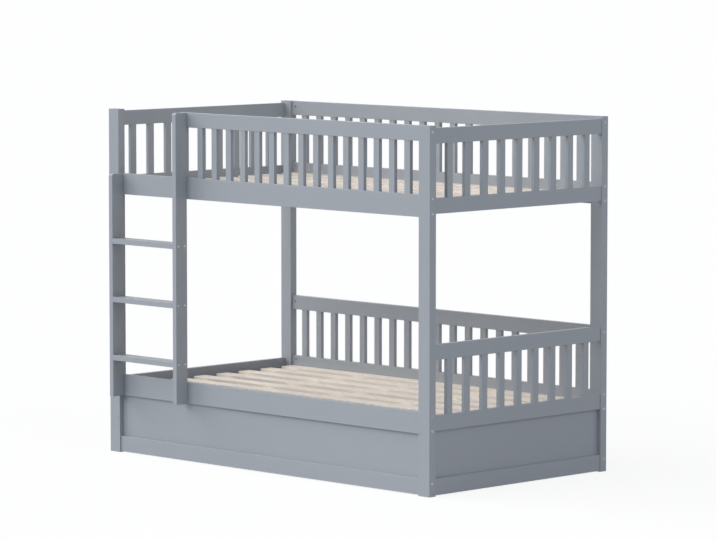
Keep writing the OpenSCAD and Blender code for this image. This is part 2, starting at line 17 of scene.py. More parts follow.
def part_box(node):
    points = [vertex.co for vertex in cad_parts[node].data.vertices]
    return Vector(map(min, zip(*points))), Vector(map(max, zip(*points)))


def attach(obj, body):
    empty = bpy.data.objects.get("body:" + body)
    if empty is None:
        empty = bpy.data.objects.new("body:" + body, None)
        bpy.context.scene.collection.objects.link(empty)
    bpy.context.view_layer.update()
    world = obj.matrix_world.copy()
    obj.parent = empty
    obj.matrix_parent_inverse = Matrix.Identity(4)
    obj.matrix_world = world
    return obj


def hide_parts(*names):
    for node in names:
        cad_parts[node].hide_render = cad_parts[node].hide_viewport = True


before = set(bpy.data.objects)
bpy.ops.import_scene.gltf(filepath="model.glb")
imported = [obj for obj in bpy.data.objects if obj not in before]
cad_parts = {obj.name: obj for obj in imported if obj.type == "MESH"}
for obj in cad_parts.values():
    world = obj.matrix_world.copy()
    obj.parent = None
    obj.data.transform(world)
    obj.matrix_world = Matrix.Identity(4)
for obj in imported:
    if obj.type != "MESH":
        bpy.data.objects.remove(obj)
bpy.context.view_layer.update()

log = logging.getLogger("bunk_bed")

MM = 0.001
BODY = "root"

Triple = tuple[float, float, float]
Colour = Triple

WHITE: Colour = (1.0, 1.0, 1.0)


class Grain(Enum):
    """Which way the fibres of a board run, as the turn that lays them along X."""

    ALONG = (0.0, 0.0, 0.0)
    ACROSS = (0.0, 0.0, -90.0)
    UPRIGHT = (0.0, 90.0, 0.0)


class Recess(Enum):
    """What a driver turns a fastener by."""

    HEX = "hex"
    CROSS = "cross"


# ---- Shader graphs -------------------------------------------------------------------------------


class Graph:
    """A node tree, with short calls for the nodes that the finishes are made of."""

    def __init__(self, tree: bpy.types.NodeTree) -> None:
        """Takes the tree to work in.

        Args:
            tree: A material's or a group's node tree.
        """
        self.tree = tree

    def add(self, kind: str, inputs: dict | None = None, **settings: object) -> bpy.types.Node:
        """Adds a node.

        Args:
            kind: The node's type, such as ShaderNodeTexNoise.
            inputs: Socket names or numbers, each with a value or a socket to link from.
            settings: The node's own properties.

        Returns:
            The new node.
        """
        node = self.tree.nodes.new(kind)
        for name, value in settings.items():
            setattr(node, name, value)
        for name, value in (inputs or {}).items():
            if isinstance(value, bpy.types.NodeSocket):
                self.tree.links.new(value, node.inputs[name])
            else:
                node.inputs[name].default_value = value
        return node

    def math(self, operation: str, *values: object) -> bpy.types.NodeSocket:
        """Works out one sum on numbers or sockets.

        Args:
            operation: The Math node's operation.
            values: Its inputs, in order.

        Returns:
            The result's socket.
        """
        inputs = dict(enumerate(values))
        return self.add("ShaderNodeMath", inputs, operation=operation).outputs[0]

    def vectors(self, operation: str, *values: object) -> bpy.types.NodeSocket:
        """Works out one sum on vectors or their sockets.

        Args:
            operation: The Vector Math node's operation.
            values: Its inputs, in order.

        Returns:
            The resulting vector's socket.
        """
        inputs = dict(enumerate(values))
        return self.add("ShaderNodeVectorMath", inputs, operation=operation).outputs[0]

    def stretch(self, vector: bpy.types.NodeSocket, by: Triple) -> bpy.types.NodeSocket:
        """Scales a vector by a fixed amount along each axis.

        Args:
            vector: The vector's socket.
            by: The three factors.

        Returns:
            The scaled vector's socket.
        """
        return self.vectors("MULTIPLY", vector, by)

    def noise(self, vector: bpy.types.NodeSocket, detail: float, roughness: float,
              scale: float = 1.0) -> bpy.types.NodeSocket:
        """Reads a cloudy value, about 0.5 in the middle.

        Args:
            vector: Where it is read.
            detail: How many finer layers it has.
            roughness: How strong they are.
            scale: Clouds per unit of the vector.

        Returns:
            The value's socket.
        """
        inputs = {"Vector": vector, "Scale": scale, "Detail": detail, "Roughness": roughness}
        return self.add("ShaderNodeTexNoise", inputs).outputs["Fac"]

    def span(self, value: bpy.types.NodeSocket, low: float, high: float, to_low: float = 0.0,
             to_high: float = 1.0) -> bpy.types.NodeSocket:
        """Maps a value from one range to another, with an eased, clamped course.

        Args:
            value: The value's socket.
            low: What becomes to_low.
            high: What becomes to_high.
            to_low: The new low end.
            to_high: The new high end.

        Returns:
            The mapped value's socket.
        """
        inputs = {"Value": value, "From Min": low, "From Max": high, "To Min": to_low,
                  "To Max": to_high}
        return self.add("ShaderNodeMapRange", inputs, interpolation_type="SMOOTHSTEP").outputs[0]

    def relief(self, height: bpy.types.NodeSocket, depth: float,
               strength: float) -> bpy.types.NodeSocket:
        """Turns a height into the way that the surface faces.

        Args:
            height: The height's socket, from 0 to about 1.
            depth: How far a height of 1 stands out, in metres.
            strength: How much of it shows.

        Returns:
            The normal's socket.
        """
        inputs = {"Strength": strength, "Distance": depth, "Height": height}
        return self.add("ShaderNodeBump", inputs).outputs[0]

    def blend(self, share: object, low: object, high: object,
              mode: str = "MIX") -> bpy.types.NodeSocket:
        """Mixes two colours.

        Args:
            share: How much of the second one there is.
            low: The first colour, or its socket.
            high: The second colour, or its socket.
            mode: The Mix node's blend type.

        Returns:
            The mixed colour's socket.
        """
        paired = {0: share, 6: rgba(low), 7: rgba(high)}
        node = self.add("ShaderNodeMix", paired, data_type="RGBA", blend_type=mode,
                        clamp_factor=True)
        return node.outputs[2]

    def effect(self, effect: type["Effect"], values: dict) -> bpy.types.Node:
        """Places a shared effect.

        Args:
            effect: The effect's class.
            values: Its inputs by name.

        Returns:
            The group node.
        """
        return self.add("ShaderNodeGroup", values, node_tree=effect.shared())


def rgba(colour: object) -> object:
    """Gives a colour its alpha, and leaves a socket as it is.

    Args:
        colour: Three numbers, or a socket.

    Returns:
        Four numbers, or the socket.
    """
    return (*colour, 1.0) if isinstance(colour, tuple) and len(colour) == 3 else colour


class Effect:
    """A shader node group with named inputs and outputs, built once and shared."""

    name = ""
    inputs: dict[str, str] = {}
    outputs: dict[str, str] = {}

    @classmethod
    def shared(cls) -> bpy.types.NodeTree:
        """Finds the group, or builds it.

        Returns:
            The group's node tree.
        """
        known = bpy.data.node_groups.get(cls.name)
        if known:
            return known
        tree = bpy.data.node_groups.new(cls.name, "ShaderNodeTree")
        for label, kind in cls.inputs.items():
            tree.interface.new_socket(label, in_out="INPUT", socket_type=kind)
        for label, kind in cls.outputs.items():
            tree.interface.new_socket(label, in_out="OUTPUT", socket_type=kind)
        graph = Graph(tree)
        start = graph.add("NodeGroupInput")
        end = graph.add("NodeGroupOutput")
        for label, socket in cls.wire(graph, start.outputs).items():
            tree.links.new(socket, end.inputs[label])
        return tree

    @classmethod
    def wire(cls, graph: Graph, given: bpy.types.NodeOutputs) -> dict[str, bpy.types.NodeSocket]:
        """Builds the group's nodes.

        Args:
            graph: The group's graph.
            given: The sockets of its inputs.

        Returns:
            A socket for each output.
        """
        raise NotImplementedError


class PlankPick(Effect):
    """Tells the boards of a row apart, and moves each one's pattern to a place of its own."""

    name = "plank_pick"
    inputs = {"Vector": "NodeSocketVector", "Start": "NodeSocketFloat", "Pitch": "NodeSocketFloat",
              "Storey": "NodeSocketFloat"}
    outputs = {"Vector": "NodeSocketVector", "Tone": "NodeSocketFloat"}
    throw = (1.7, 0.9, 0.6)

    @classmethod
    def wire(cls, graph: Graph, given: bpy.types.NodeOutputs) -> dict[str, bpy.types.NodeSocket]:
        """Counts the boards across and by storey, and draws a random shift and tone for each.

        Args:
            graph: The group's graph.
            given: The sockets of its inputs.

        Returns:
            The moved vector's socket, and the tone's.
        """
        parts = graph.add("ShaderNodeSeparateXYZ", {0: given["Vector"]}).outputs
        along = graph.math("SUBTRACT", parts["Y"], given["Start"])
        count = graph.math("FLOOR", graph.math("DIVIDE", along, given["Pitch"]))
        draw = graph.add("ShaderNodeCombineXYZ", {"X": count, "Y": given["Storey"]}).outputs[0]
        random = graph.add("ShaderNodeTexWhiteNoise", {"Vector": draw}, noise_dimensions="3D")
        shift = graph.stretch(random.outputs["Color"], cls.throw)
        moved = graph.vectors("ADD", given["Vector"], shift)
        return {"Vector": moved, "Tone": random.outputs["Value"]}


class Fibres(Effect):
    """Fine fibres and broad streaks along X."""

    name = "fibres"
    inputs = {"Vector": "NodeSocketVector"}
    outputs = {"Fine": "NodeSocketFloat", "Broad": "NodeSocketFloat", "Pores": "NodeSocketFloat"}
    fine_grid = (5.0, 420.0, 420.0)
    broad_grid = (0.9, 42.0, 42.0)
    pore_grid = (45.0, 1300.0, 1300.0)
    fine_layers = (3.0, 0.6)
    broad_layers = (3.0, 0.55)
    pore_layers = (1.0, 0.5)
    middle = (0.3, 0.7)
    peaks = (0.62, 0.74)

    @classmethod
    def wire(cls, graph: Graph, given: bpy.types.NodeOutputs) -> dict[str, bpy.types.NodeSocket]:
        """Reads cloudy values that are drawn out along the board.

        Args:
            graph: The group's graph.
            given: The sockets of its inputs.

        Returns:
            A socket for the fine fibres, one for the broad streaks and one for the pores.
        """
        fine = graph.noise(graph.stretch(given["Vector"], cls.fine_grid), *cls.fine_layers)
        broad = graph.noise(graph.stretch(given["Vector"], cls.broad_grid), *cls.broad_layers)
        dash = graph.noise(graph.stretch(given["Vector"], cls.pore_grid), *cls.pore_layers)
        return {"Fine": graph.span(fine, *cls.middle), "Broad": graph.span(broad, *cls.middle),
                "Pores": graph.span(dash, *cls.peaks)}


class GrowthRings(Effect):
    """Growth rings round a pith that wanders beside the board, cut wherever the board is cut."""

    name = "growth_rings"
    inputs = {"Vector": "NodeSocketVector", "Spacing": "NodeSocketFloat",
              "Wander": "NodeSocketFloat"}
    outputs = {"Late": "NodeSocketFloat"}
    cell = 0.22
    bend_grid = (1.1, 5.0, 5.0)
    bend_detail = 3.0
    bend_middle = (0.5, 0.5, 0.5)
    rise = (0.35, 0.88)
    fall = (0.92, 1.0)

    @classmethod
    def wire(cls, graph: Graph, given: bpy.types.NodeOutputs) -> dict[str, bpy.types.NodeSocket]:
        """Measures the way to the pith, and turns it into pale early and sharp late wood.

        Args:
            graph: The group's graph.
            given: The sockets of its inputs.

        Returns:
            The socket of how late in its year the wood is.
        """
        bend = graph.add("ShaderNodeTexNoise", {
            "Vector": graph.stretch(given["Vector"], cls.bend_grid), "Scale": 1.0,
            "Detail": cls.bend_detail})
        centred = graph.vectors("SUBTRACT", bend.outputs["Color"], cls.bend_middle)
        pushed = graph.add("ShaderNodeVectorMath", {0: centred, "Scale": given["Wander"]},
                           operation="SCALE").outputs[0]
        moved = graph.vectors("ADD", given["Vector"], pushed)
        parts = graph.add("ShaderNodeSeparateXYZ", {0: moved}).outputs
        sides = [graph.math("PINGPONG", parts[axis], cls.cell) for axis in ("Y", "Z")]
        way = graph.add("ShaderNodeCombineXYZ", {"Y": sides[0], "Z": sides[1]}).outputs[0]
        radius = graph.add("ShaderNodeVectorMath", {0: way}, operation="LENGTH").outputs["Value"]
        year = graph.math("FRACT", graph.math("DIVIDE", radius, given["Spacing"]))
        rise = graph.span(year, *cls.rise)
        fall = graph.span(year, *cls.fall, 1.0, 0.0)
        return {"Late": graph.math("MULTIPLY", rise, fall)}


class Knots(Effect):
    """Small, sparse knots, longer along the grain, each with a ring about it."""

    name = "knots"
    inputs = {"Vector": "NodeSocketVector", "Share": "NodeSocketFloat"}
    outputs = {"Core": "NodeSocketFloat", "Rim": "NodeSocketFloat"}
    grid = (2.6, 8.5, 8.5)
    wobble = (0.05, 0.05, 0.05)
    wobbles_per_cell = 9.0
    wobble_detail = 2.0
    scatter = 0.9
    core = (0.035, 0.075)
    rim = (0.07, 0.19)

    @classmethod
    def wire(cls, graph: Graph, given: bpy.types.NodeOutputs) -> dict[str, bpy.types.NodeSocket]:
        """Draws a spot in some of the cells of a wide grid.

        Args:
            graph: The group's graph.
            given: The sockets of its inputs.

        Returns:
            A socket for the knots' cores, and one for the rings about them.
        """
        grid = graph.stretch(given["Vector"], cls.grid)
        push = graph.add("ShaderNodeTexNoise", {"Vector": grid, "Scale": cls.wobbles_per_cell,
                                                "Detail": cls.wobble_detail})
        shaken = graph.vectors("MULTIPLY_ADD", push.outputs["Color"], cls.wobble, grid)
        cells = graph.add("ShaderNodeTexVoronoi", {"Vector": shaken, "Scale": 1.0,
                                                   "Randomness": cls.scatter})
        pick = graph.add("ShaderNodeSeparateColor", {0: cells.outputs["Color"]}).outputs[0]
        chosen = graph.math("LESS_THAN", pick, given["Share"])
        core = graph.span(cells.outputs["Distance"], *cls.core, 1.0, 0.0)
        rim = graph.span(cells.outputs["Distance"], *cls.rim, 1.0, 0.0)
        return {"Core": graph.math("MULTIPLY", core, chosen),
                "Rim": graph.math("MULTIPLY", rim, chosen)}


class Mottle(Effect):
    """Slow clouds and a fine tooth, for coats that are never quite even."""

    name = "mottle"
    inputs = {"Vector": "NodeSocketVector"}
    outputs = {"Cloud": "NodeSocketFloat", "Tooth": "NodeSocketFloat"}
    clouds_per_metre = 2.6
    teeth_per_metre = 650.0
    cloud_layers = (3.0, 0.55)
    tooth_layers = (2.0, 0.6)
    middle = (0.3, 0.7)

    @classmethod
    def wire(cls, graph: Graph, given: bpy.types.NodeOutputs) -> dict[str, bpy.types.NodeSocket]:
        """Reads one slow and one fine cloudy value.

        Args:
            graph: The group's graph.
            given: The sockets of its inputs.

        Returns:
            A socket for the clouds, and one for the tooth.
        """
        slow = graph.noise(given["Vector"], *cls.cloud_layers, cls.clouds_per_metre)
        tooth = graph.noise(given["Vector"], *cls.tooth_layers, cls.teeth_per_metre)
        return {"Cloud": graph.span(slow, *cls.middle), "Tooth": tooth}


# ---- Finishes ------------------------------------------------------------------------------------


def new_material(name: str) -> tuple[bpy.types.Material, Graph, bpy.types.NodeSocket]:
    """Starts a material on Object coordinates.

    Args:
        name: The material's name.

    Returns:
        The material, its empty graph and the coordinates' socket.
    """
    material = bpy.data.materials.new(name)
    material.use_nodes = True
    material.node_tree.nodes.clear()
    graph = Graph(material.node_tree)
    return material, graph, graph.add("ShaderNodeTexCoord").outputs["Object"]


def close_material(graph: Graph, inputs: dict) -> None:
    """Ends a material in its Principled shader.

    Args:
        graph: The material's graph.
        inputs: The shader's inputs.
    """
    shader = graph.add("ShaderNodeBsdfPrincipled", inputs)
    graph.add("ShaderNodeOutputMaterial", {"Surface": shader.outputs[0]})


def turned(graph: Graph, place: bpy.types.NodeSocket, grain: Grain) -> bpy.types.NodeSocket:
    """Turns coordinates so that the fibres run along X.

    Args:
        graph: The material's graph.
        place: The coordinates.
        grain: Which way the fibres run.

    Returns:
        The turned coordinates.
    """
    angles = tuple(math.radians(angle) for angle in grain.value)
    return graph.add("ShaderNodeMapping", {"Vector": place, "Rotation": angles}).outputs[0]


@dataclass(frozen=True)
class SatinPaint:
    """Grey satin paint on pine, through which a little of the grain shows."""

    grain: Grain
    body: Colour = (0.325, 0.353, 0.384)
    worn: Colour = (0.35, 0.37, 0.39)
    streak_share: float = 0.16
    cloud_share: float = 0.3
    roughness: float = 0.42
    roughness_swing: float = 0.07
    fine_relief: float = 0.35
    tooth_relief: float = 0.25
    relief_depth: float = 0.00022
    relief_strength: float = 0.35

    def material(self) -> bpy.types.Material:
        """Builds the finish.

        Returns:
            The material.
        """
        material, graph, place = new_material(f"satin_paint_{self.grain.name.lower()}")
        vector = turned(graph, place, self.grain)
        fibres = graph.effect(Fibres, {"Vector": vector}).outputs
        coat = graph.effect(Mottle, {"Vector": place}).outputs
        streak = graph.math("MULTIPLY", fibres["Broad"], self.streak_share)
        cloud = graph.math("MULTIPLY_ADD", coat["Cloud"], self.cloud_share, streak)
        colour = graph.blend(cloud, self.body, self.worn)
        glossiest = self.roughness - self.roughness_swing / 2
        shine = graph.math("MULTIPLY_ADD", coat["Cloud"], self.roughness_swing, glossiest)
        grain = graph.math("MULTIPLY_ADD", fibres["Fine"], self.fine_relief, fibres["Broad"])
        skin = graph.math("MULTIPLY_ADD", coat["Tooth"], self.tooth_relief, grain)
        normal = graph.relief(skin, self.relief_depth, self.relief_strength)
        close_material(graph, {"Base Color": colour, "Roughness": shine, "Normal": normal})
        return material


@dataclass(frozen=True)
class BarePine:
    """Planed bare pine, cut as one board after another."""

    use: str
    grain: Grain
    start: float
    pitch: float
    storey_height: float = 0.7
    early: Colour = (0.9, 0.81, 0.695)
    late: Colour = (0.78, 0.67, 0.54)
    knot: Colour = (0.25, 0.13, 0.07)
    ring_gap: float = 0.0052
    ring_wander: float = 0.05
    ring_least: float = 0.15
    ring_swing: float = 0.4
    fibre_share: float = 0.12
    pore_share: float = 0.18
    knot_share: float = 0.2
    knot_rim: float = 0.35
    knot_core: float = 0.75
    tones: tuple[float, float] = (0.93, 1.08)
    roughness: float = 0.38
    ring_gloss: float = 0.06
    fibre_relief: float = 0.5
    relief_depth: float = 0.00025
    relief_strength: float = 0.18
    fuzz: float = 1.0
    fuzz_tint: Colour = (1.0, 0.9, 0.8)
    fuzz_roughness: float = 0.35

    def material(self) -> bpy.types.Material:
        """Builds the finish.

        Returns:
            The material.
        """
        material, graph, place = new_material(f"bare_pine_{self.use}")
        height = graph.add("ShaderNodeSeparateXYZ", {0: place}).outputs["Z"]
        storey = graph.math("FLOOR", graph.math("DIVIDE", height, self.storey_height))
        plank = graph.effect(PlankPick, {
            "Vector": turned(graph, place, self.grain), "Start": self.start, "Pitch": self.pitch,
            "Storey": storey}).outputs
        rings = graph.effect(GrowthRings, {"Vector": plank["Vector"], "Spacing": self.ring_gap,
                                           "Wander": self.ring_wander}).outputs["Late"]
        fibres = graph.effect(Fibres, {"Vector": plank["Vector"]}).outputs
        knots = graph.effect(Knots, {"Vector": plank["Vector"], "Share": self.knot_share}).outputs
        force = graph.math("MULTIPLY_ADD", fibres["Broad"], self.ring_swing, self.ring_least)
        wood = graph.blend(graph.math("MULTIPLY", rings, force), self.early, self.late)
        for mask, share, stain in ((fibres["Fine"], self.fibre_share, self.late),
                                   (fibres["Pores"], self.pore_share, self.knot),
                                   (knots["Rim"], self.knot_rim, self.late),
                                   (knots["Core"], self.knot_core, self.knot)):
            wood = graph.blend(graph.math("MULTIPLY", mask, share), wood, stain)
        tone = graph.span(plank["Tone"], 0.0, 1.0, *self.tones)
        grey = graph.add("ShaderNodeCombineXYZ", {"X": tone, "Y": tone, "Z": tone}).outputs[0]
        colour = graph.blend(1.0, wood, grey, "MULTIPLY")
        shine = graph.math("MULTIPLY_ADD", rings, -self.ring_gloss, self.roughness)
        skin = graph.math("MULTIPLY_ADD", fibres["Fine"], self.fibre_relief, rings)
        normal = graph.relief(skin, self.relief_depth, self.relief_strength)
        close_material(graph, {"Base Color": colour, "Roughness": shine, "Normal": normal,
                               "Sheen Weight": self.fuzz, "Sheen Roughness": self.fuzz_roughness,
                               "Sheen Tint": rgba(self.fuzz_tint)})
        return material


@dataclass(frozen=True)
class Beech:
    """Turned beech dowels, with short dark flecks."""

    pale: Colour = (0.6, 0.42, 0.27)
    dark: Colour = (0.42, 0.26, 0.15)
    fleck_share: float = 0.6
    dark_share: float = 0.6
    roughness: float = 0.6
    relief_depth: float = 0.0002
    relief_strength: float = 0.3

    def material(self) -> bpy.types.Material:
        """Builds the finish.

        Returns:
            The material.
        """
        material, graph, place = new_material("beech_dowel")
        fibres = graph.effect(Fibres, {"Vector": place}).outputs
        flecked = graph.math("MULTIPLY_ADD", fibres["Pores"], self.fleck_share, fibres["Fine"])
        colour = graph.blend(graph.math("MULTIPLY", flecked, self.dark_share), self.pale, self.dark)
        normal = graph.relief(flecked, self.relief_depth, self.relief_strength)
        close_material(graph, {"Base Color": colour, "Roughness": self.roughness, "Normal": normal})
        return material


@dataclass(frozen=True)
class ZincPlate:
    """Bright zinc plate on steel, clouded and finely scratched."""

    name: str
    bright: Colour
    dull: Colour
    roughness: float
    roughness_swing: float = 0.14
    cloud_grid: Triple = (12.0, 12.0, 12.0)
    scratch_grid: Triple = (900.0, 900.0, 90.0)
    scratch_layers: tuple[float, float] = (2.0, 0.5)
    relief_depth: float = 0.00005
    relief_strength: float = 0.25

    def material(self) -> bpy.types.Material:
        """Builds the finish.

        Returns:
            The material.
        """
        material, graph, place = new_material(self.name)
        coat = graph.effect(Mottle, {"Vector": graph.stretch(place, self.cloud_grid)}).outputs
        scratch = graph.noise(graph.stretch(place, self.scratch_grid), *self.scratch_layers)
        colour = graph.blend(coat["Cloud"], self.bright, self.dull)
        shine = graph.math("MULTIPLY_ADD", coat["Cloud"], self.roughness_swing, self.roughness)
        normal = graph.relief(scratch, self.relief_depth, self.relief_strength)
        close_material(graph, {"Base Color": colour, "Metallic": 1.0, "Roughness": shine,
                               "Normal": normal})
        return material


# ---- Fasteners -----------------------------------------------------------------------------------


# Corners nearer than this are one corner.
TOUCHING = 0.001 * MM
# An end of a fastener is what lies beyond this share of its length from its middle.
END_SHARE = 0.45
# Half the width of a cross recess's arms, as a share of their reach.
CROSS_ARM = 0.3


@dataclass(frozen=True)
class Fastener:
    """One fastener of the construction: its head's middle, the way out of it, and its length."""

    head: Vector
    out: Vector
    length: float


@dataclass(frozen=True)
class HeadShape:
    """The shape of a fastener, in metres, with its head's face at the origin."""

    recess: Recess
    head_r: float
    head_h: float
    shank_r: float
    tip: float
    recess_r: float
    recess_depth: float
    countersunk: bool


def islands(mesh: bpy.types.Mesh) -> list[list[Vector]]:
    """Finds the separate solids of a mesh of loose triangles.

    Args:
        mesh: The mesh, which stays as it is.

    Returns:
        The corners of each solid.
    """
    work = bmesh.new()
    work.from_mesh(mesh)
    bmesh.ops.remove_doubles(work, verts=work.verts, dist=TOUCHING)
    seen: set[bmesh.types.BMVert] = set()
    found = []
    for first in work.verts:
        if first in seen:
            continue
        seen.add(first)
        group, edge_of_group = [], [first]
        while edge_of_group:
            vert = edge_of_group.pop()
            group.append(vert.co.copy())
            for edge in vert.link_edges:
                other = edge.other_vert(vert)
                if other not in seen:
                    seen.add(other)
                    edge_of_group.append(other)
        found.append(group)
    work.free()
    return found


def read_fastener(corners: list[Vector]) -> Fastener:
    """Reads where a fastener's head is: at the end that reaches further from its own axis.

    Args:
        corners: The corners of its solid.

    Returns:
        The fastener.
    """
    low = Vector(min(c[i] for c in corners) for i in range(3))
    high = Vector(max(c[i] for c in corners) for i in range(3))
    middle, size = (low + high) / 2, high - low
    axis = max(range(3), key=lambda i: size[i])
    spread = {-1: 0.0, 1: 0.0}
    for corner in corners:
        away = corner - middle
        side = 1 if away[axis] > 0 else -1
        along, away[axis] = abs(away[axis]), 0.0
        if along > size[axis] * END_SHARE:
            spread[side] = max(spread[side], away.length)
    sign = 1 if spread[1] > spread[-1] else -1
    out = Vector((0.0, 0.0, 0.0))
    out[axis] = sign
    return Fastener(middle + out * size[axis] / 2, out, size[axis])


def recess_corner(kind: Recess, index: int, radius: float) -> tuple[float, float]:
    """Gives one of the twelve corners of a recess's outline.

    Args:
        kind: The recess.
        index: Which corner, from 0 to 11, going round.
        radius: How far the recess reaches.

    Returns:
        The corner's place across the head.
    """
    if kind is Recess.HEX:
        reach = radius if index % 2 == 0 else radius * math.cos(math.pi / 6)
        angle = index * math.pi / 6
        return reach * math.cos(angle), reach * math.sin(angle)
    arm = radius * CROSS_ARM
    quarter, step = divmod(index, 3)
    x, y = ((radius, arm), (arm, arm), (arm, radius))[step]
    for _ in range(quarter):
        x, y = -y, x
    return x, y


@dataclass
class FastenerSet:
    """All fasteners of one kind, made again from a few turned and sunk faces."""

    name: str
    node: str
    slot: str
    shape: HeadShape
    finish: bpy.types.Material
    segments: int = 12
    recess_rim: float = 1.12
    cross_floor: float = 0.55
    screw_point: float = 0.12
    bolt_end: float = 0.75

    def pattern(self, length: float) -> bmesh.types.BMesh:
        """Makes one fastener, with its head's face at z = 0 and its shank below.

        Args:
            length: Its whole length.

        Returns:
            Its mesh.
        """
        shape = self.shape
        bm = bmesh.new()
        neck = shape.shank_r if shape.countersunk else shape.head_r
        bmesh.ops.create_cone(bm, cap_ends=True, segments=self.segments, radius1=neck,
                              radius2=shape.head_r, depth=shape.head_h,
                              matrix=Matrix.Translation((0.0, 0.0, -shape.head_h / 2)))
        top = max(bm.faces, key=lambda face: face.calc_center_median().z)
        under = min(bm.faces, key=lambda face: face.calc_center_median().z)
        self.sink_recess(bm, top)
        self.draw_shank(bm, under, length)
        bmesh.ops.recalc_face_normals(bm, faces=bm.faces)
        return bm

    def sink_recess(self, bm: bmesh.types.BMesh, top: bmesh.types.BMFace) -> None:
        """Sinks the driver's recess into the head.

        Args:
            bm: The fastener.
            top: The head's face.
        """
        shape = self.shape
        rim = shape.head_r - shape.recess_r * self.recess_rim
        bmesh.ops.inset_region(bm, faces=[top], thickness=rim)
        for vert in top.verts:
            turn = math.atan2(vert.co.y, vert.co.x) % math.tau
            index = round(turn / (math.tau / self.segments)) % self.segments
            x, y = recess_corner(shape.recess, index, shape.recess_r)
            vert.co.x, vert.co.y = x, y
        made = bmesh.ops.extrude_discrete_faces(bm, faces=[top])["faces"]
        bmesh.ops.translate(bm, verts=made[0].verts, vec=(0.0, 0.0, -shape.recess_depth))
        if shape.recess is Recess.CROSS:
            floor = Matrix.Diagonal((self.cross_floor, self.cross_floor, 1.0, 1.0))
            bmesh.ops.transform(bm, matrix=floor, verts=made[0].verts)

    def draw_shank(self, bm: bmesh.types.BMesh, under: bmesh.types.BMFace, length: float) -> None:
        """Draws the shank out of the head, and points or eases its end.

        Args:
            bm: The fastener.
            under: The face below the head.
            length: The fastener's whole length.
        """
        shape = self.shape
        if not shape.countersunk:
            bmesh.ops.inset_region(bm, faces=[under], thickness=shape.head_r - shape.shank_r)
        shank = bmesh.ops.extrude_discrete_faces(bm, faces=[under])["faces"][0]
        drop = shape.head_h + shape.tip - length
        bmesh.ops.translate(bm, verts=shank.verts, vec=(0.0, 0.0, drop))
        end = bmesh.ops.extrude_discrete_faces(bm, faces=[shank])["faces"][0]
        bmesh.ops.translate(bm, verts=end.verts, vec=(0.0, 0.0, -shape.tip))
        share = self.screw_point if shape.countersunk else self.bolt_end
        bmesh.ops.scale(bm, verts=end.verts, vec=(share, share, 1.0))

    def build(self) -> None:
        """Puts a fastener at every place of the node that the set stands for."""
        places = [read_fastener(corners) for corners in islands(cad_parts[self.node].data)]
        bm = bmesh.new()
        pattern_mesh = bpy.data.meshes.new(f"{self.name}_pattern")
        pattern = self.pattern(places[0].length)
        pattern.to_mesh(pattern_mesh)
        pattern.free()
        for place in places:
            known = len(bm.verts)
            bm.from_mesh(pattern_mesh)
            bm.verts.ensure_lookup_table()
            turn = place.out.to_track_quat("Z", "Y").to_matrix().to_4x4()
            stand = Matrix.Translation(place.head) @ turn
            bmesh.ops.transform(bm, matrix=stand, verts=bm.verts[known:])
        mesh = bpy.data.meshes.new(self.name)
        bm.to_mesh(mesh)
        bm.free()
        bpy.data.meshes.remove(pattern_mesh)
        piece = bpy.data.objects.new(self.name, mesh)
        bpy.context.scene.collection.objects.link(piece)
        mesh.materials.append(self.finish)
        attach(piece, BODY)
        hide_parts(self.node)
        log.info("%s: %d fasteners", self.name, len(places))


@dataclass
class Hardware:
    """The bolts and screws that hold the bed together."""

    bolt_zinc: ZincPlate = ZincPlate("bolt_zinc", (0.56, 0.57, 0.59), (0.45, 0.46, 0.48), 0.32)
    rung_zinc: ZincPlate = ZincPlate("rung_zinc", (0.8, 0.81, 0.83), (0.66, 0.67, 0.69), 0.32)
    screw_zinc: ZincPlate = ZincPlate("screw_zinc", (0.36, 0.37, 0.39), (0.28, 0.29, 0.31), 0.38)
    bolt: HeadShape = HeadShape(
        Recess.HEX, head_r=5.0 * MM, head_h=4.0 * MM, shank_r=3.0 * MM, tip=1.0 * MM,
        recess_r=2.6 * MM, recess_depth=2.6 * MM, countersunk=False)
    screw: HeadShape = HeadShape(
        Recess.CROSS, head_r=4.0 * MM, head_h=2.0 * MM, shank_r=2.0 * MM, tip=4.0 * MM,
        recess_r=2.4 * MM, recess_depth=1.6 * MM, countersunk=True)
    pin: HeadShape = HeadShape(
        Recess.CROSS, head_r=2.8 * MM, head_h=1.3 * MM, shank_r=1.5 * MM, tip=3.0 * MM,
        recess_r=1.7 * MM, recess_depth=1.0 * MM, countersunk=True)

    def build(self) -> None:
        """Makes every set of fasteners, and dresses the ones that keep their solids."""
        bright = self.bolt_zinc.material()
        rung = self.rung_zinc.material()
        dark = self.screw_zinc.material()
        for node, slot, shape, finish in (
                ("frame_bolts", "zinc_steel", self.bolt, bright),
                ("slat_screws", "screw_steel", self.screw, dark),
                ("ledger_screws", "screw_steel", self.screw, dark),
                ("rung_screws", "screw_steel", self.screw, rung),
                ("ladder_screws", "screw_steel", self.screw, dark),
                ("corner_block_screws", "screw_steel", self.screw, dark),
                ("panel_screws", "screw_steel", self.pin, dark)):
            FastenerSet(f"{node}_made", node, slot, shape, finish).build()
        dress("barrel_nuts", bright)
        wood = Beech().material()
        for node in ("frame_dowels", "bearer_dowels"):
            dress(node, wood)


# ---- The bed -------------------------------------------------------------------------------------


